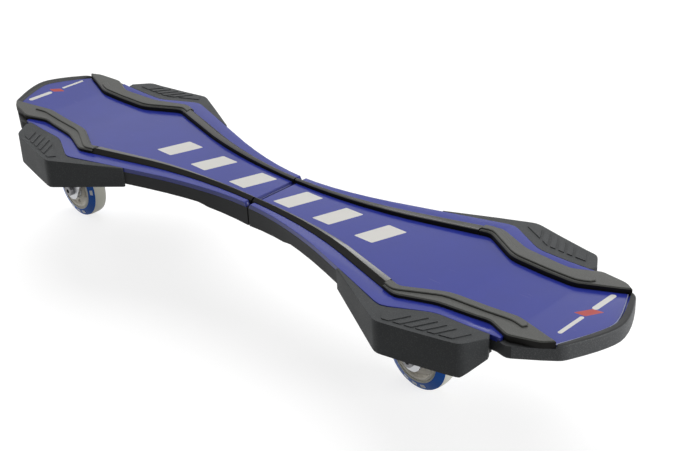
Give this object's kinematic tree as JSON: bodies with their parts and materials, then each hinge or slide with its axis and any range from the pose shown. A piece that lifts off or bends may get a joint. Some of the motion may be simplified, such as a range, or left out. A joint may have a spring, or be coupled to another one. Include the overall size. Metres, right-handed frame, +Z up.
{
  "type": "caster board",
  "caption": "Two-deck board on trailing inline casters, its waisted foot decks joined by a sprung torsion tube so that they twist against each other.",
  "frame": {"origin": "on the ground, under the middle seam between the two decks, on the centre line", "axes": "+X along the board towards the front deck, +Y to the rider's left across it, +Z up"},
  "size_m": [0.86, 0.2322, 0.165],
  "materials": {
    "black_plastic": "fine grained",
    "blue_gloss": "gloss",
    "black_rail": "semi-gloss",
    "grey_plastic": "soft textured",
    "zinc_steel": "bright zinc",
    "dark_steel": "dark zinc",
    "spring_steel": "oiled",
    "nylon": "natural",
    "pale_hub": "satin",
    "urethane": "smooth translucent"
  },
  "bodies": {
    "front_deck": {"front_deck_base": "black_plastic", "front_deck_cover": "blue_gloss", "front_top_panel": "blue_gloss", "front_left_waist_rail": "black_rail", "front_right_waist_rail": "black_rail", "front_left_foot_rail": "grey_plastic", "front_right_foot_rail": "grey_plastic", "front_left_bumper": "grey_plastic", "front_right_bumper": "grey_plastic", "front_caster_wedge": "black_plastic", "front_caster_plate": "zinc_steel", "front_kingpin": "zinc_steel", "front_plate_bolt_1": "dark_steel", "front_plate_bolt_2": "dark_steel", "front_plate_bolt_3": "dark_steel", "front_plate_bolt_4": "dark_steel", "front_tube_cap": "black_plastic", "front_bar_anchor": "dark_steel", "pivot_tube": "zinc_steel", "torsion_bar": "spring_steel", "front_inner_clamp_sleeve": "dark_steel", "front_outer_clamp_sleeve": "dark_steel"},
    "front_fork": {"front_caster_fork": "zinc_steel", "front_ball_race": "spring_steel", "front_bearing_spacer": "zinc_steel", "front_axle_bolt": "dark_steel", "front_axle_nut": "zinc_steel"},
    "front_wheel": {"front_wheel_tyre": "urethane", "front_wheel_hub": "pale_hub", "front_left_bearing": "zinc_steel", "front_right_bearing": "zinc_steel"},
    "rear_deck": {"rear_deck_base": "black_plastic", "rear_deck_cover": "blue_gloss", "rear_top_panel": "blue_gloss", "rear_left_waist_rail": "black_rail", "rear_right_waist_rail": "black_rail", "rear_left_foot_rail": "grey_plastic", "rear_right_foot_rail": "grey_plastic", "rear_left_bumper": "grey_plastic", "rear_right_bumper": "grey_plastic", "rear_caster_wedge": "black_plastic", "rear_caster_plate": "zinc_steel", "rear_kingpin": "zinc_steel", "rear_plate_bolt_1": "dark_steel", "rear_plate_bolt_2": "dark_steel", "rear_plate_bolt_3": "dark_steel", "rear_plate_bolt_4": "dark_steel", "rear_tube_cap": "black_plastic", "rear_bar_anchor": "dark_steel", "rear_inner_bush": "nylon", "rear_outer_bush": "nylon"},
    "rear_fork": {"rear_caster_fork": "zinc_steel", "rear_ball_race": "spring_steel", "rear_bearing_spacer": "zinc_steel", "rear_axle_bolt": "dark_steel", "rear_axle_nut": "zinc_steel"},
    "rear_wheel": {"rear_wheel_tyre": "urethane", "rear_wheel_hub": "pale_hub", "rear_left_bearing": "zinc_steel", "rear_right_bearing": "zinc_steel"}
  },
  "joints": [
    {"name": "deck_twist", "type": "hinge", "parent": "front_deck", "child": "rear_deck", "pos_m": [0, 0, 0.13265], "axis": [1, 0, 0], "range_deg": [-35, 35], "stiffness_Nm_per_rad": 80},
    {"name": "front_caster_swivel", "type": "hinge", "parent": "front_deck", "child": "front_fork", "pos_m": [0.2685, 0, 0.09775], "axis": [0.5, 0, 0.866], "continuous": true},
    {"name": "front_wheel_spin", "type": "hinge", "parent": "front_fork", "child": "front_wheel", "pos_m": [0.20398, 0, 0.038], "axis": [0, 1, 0], "continuous": true},
    {"name": "rear_caster_swivel", "type": "hinge", "parent": "rear_deck", "child": "rear_fork", "pos_m": [-0.3075, 0, 0.09775], "axis": [0.5, 0, 0.866], "continuous": true},
    {"name": "rear_wheel_spin", "type": "hinge", "parent": "rear_fork", "child": "rear_wheel", "pos_m": [-0.37202, 0, 0.038], "axis": [0, 1, 0], "continuous": true}
  ]
}
